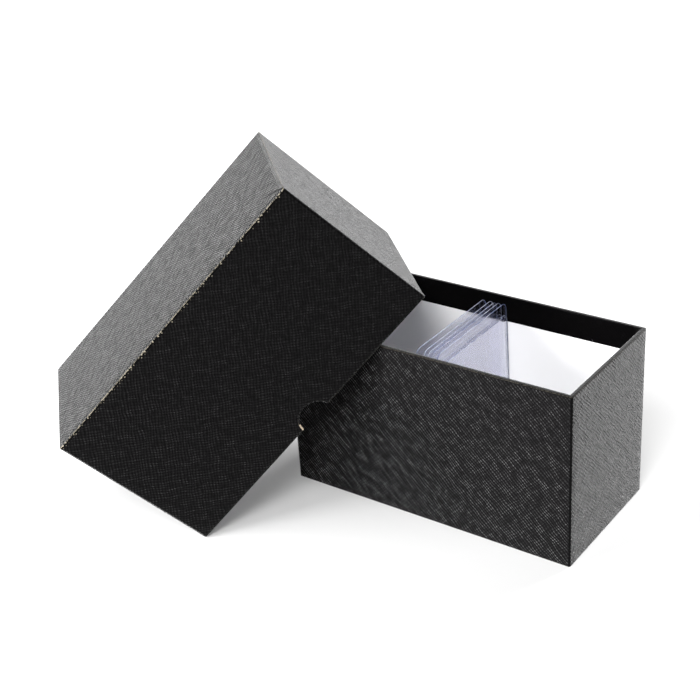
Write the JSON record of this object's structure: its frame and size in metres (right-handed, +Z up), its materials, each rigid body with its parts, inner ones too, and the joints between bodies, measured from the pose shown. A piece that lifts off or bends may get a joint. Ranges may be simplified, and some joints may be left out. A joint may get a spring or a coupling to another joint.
{
  "type": "trading card storage box",
  "caption": "Rigid card storage box with a deep lift-off lid, thumb notch and upright clear card sleeves, shown open with the lid leaning on the tray.",
  "frame": {"origin": "centre of the tray's underside", "axes": "+X along the tray's length to its right end, -Y out of its front, +Z up"},
  "size_m": [0.3132, 0.223, 0.2086],
  "materials": {
    "greyboard": "raw cut greyboard",
    "black_leatherette_paper": "black covering paper with a cross-hatch leather embossing, satin",
    "white_lining_paper": "smooth white, matt",
    "stay_tape": "brown kraft paper tape",
    "clear_sleeve": "clear rigid plastic sheet, gloss"
  },
  "bodies": {
    "tray": {"tray_floor_board": "greyboard", "tray_front_board": "greyboard", "tray_back_board": "greyboard", "tray_left_end_board": "greyboard", "tray_right_end_board": "greyboard", "tray_corner_tapes": "stay_tape", "tray_wall_wrap": "black_leatherette_paper", "tray_floor_sheet": "black_leatherette_paper", "tray_floor_lining": "white_lining_paper", "tray_wall_lining": "white_lining_paper"},
    "lid": {"lid_top_board": "greyboard", "lid_front_board": "greyboard", "lid_back_board": "greyboard", "lid_left_end_board": "greyboard", "lid_right_end_board": "greyboard", "lid_corner_tapes": "stay_tape", "lid_wall_wrap": "black_leatherette_paper", "lid_top_sheet": "black_leatherette_paper", "lid_top_lining": "white_lining_paper", "lid_wall_lining": "white_lining_paper"},
    "sleeve_1": {"sleeve_1_back_sheet": "clear_sleeve", "sleeve_1_front_sheet": "clear_sleeve"},
    "sleeve_2": {"sleeve_2_back_sheet": "clear_sleeve", "sleeve_2_front_sheet": "clear_sleeve"},
    "sleeve_3": {"sleeve_3_back_sheet": "clear_sleeve", "sleeve_3_front_sheet": "clear_sleeve"},
    "sleeve_4": {"sleeve_4_back_sheet": "clear_sleeve", "sleeve_4_front_sheet": "clear_sleeve"},
    "sleeve_5": {"sleeve_5_back_sheet": "clear_sleeve", "sleeve_5_front_sheet": "clear_sleeve"}
  },
  "joints": [
    {"name": "lid_slide", "type": "slide", "parent": "tray", "child": "lid", "axis": [-0.486, -0.5085, 0.7108], "range_m": [0, 0.1013]},
    {"name": "sleeve_1_lift", "type": "slide", "parent": "tray", "child": "sleeve_1", "axis": [-0.075, 0, 0.9972], "range_m": [0, 0.022]},
    {"name": "sleeve_2_lift", "type": "slide", "parent": "tray", "child": "sleeve_2", "axis": [-0.048, 0, 0.9988], "range_m": [0, 0.11]},
    {"name": "sleeve_3_lift", "type": "slide", "parent": "tray", "child": "sleeve_3", "axis": [-0.0401, 0, 0.9992], "range_m": [0, 0.11]},
    {"name": "sleeve_4_lift", "type": "slide", "parent": "tray", "child": "sleeve_4", "axis": [-0.0366, 0, 0.9993], "range_m": [0, 0.11]},
    {"name": "sleeve_5_lift", "type": "slide", "parent": "tray", "child": "sleeve_5", "axis": [-0.0262, 0, 0.9997], "range_m": [0, 0.11]}
  ]
}
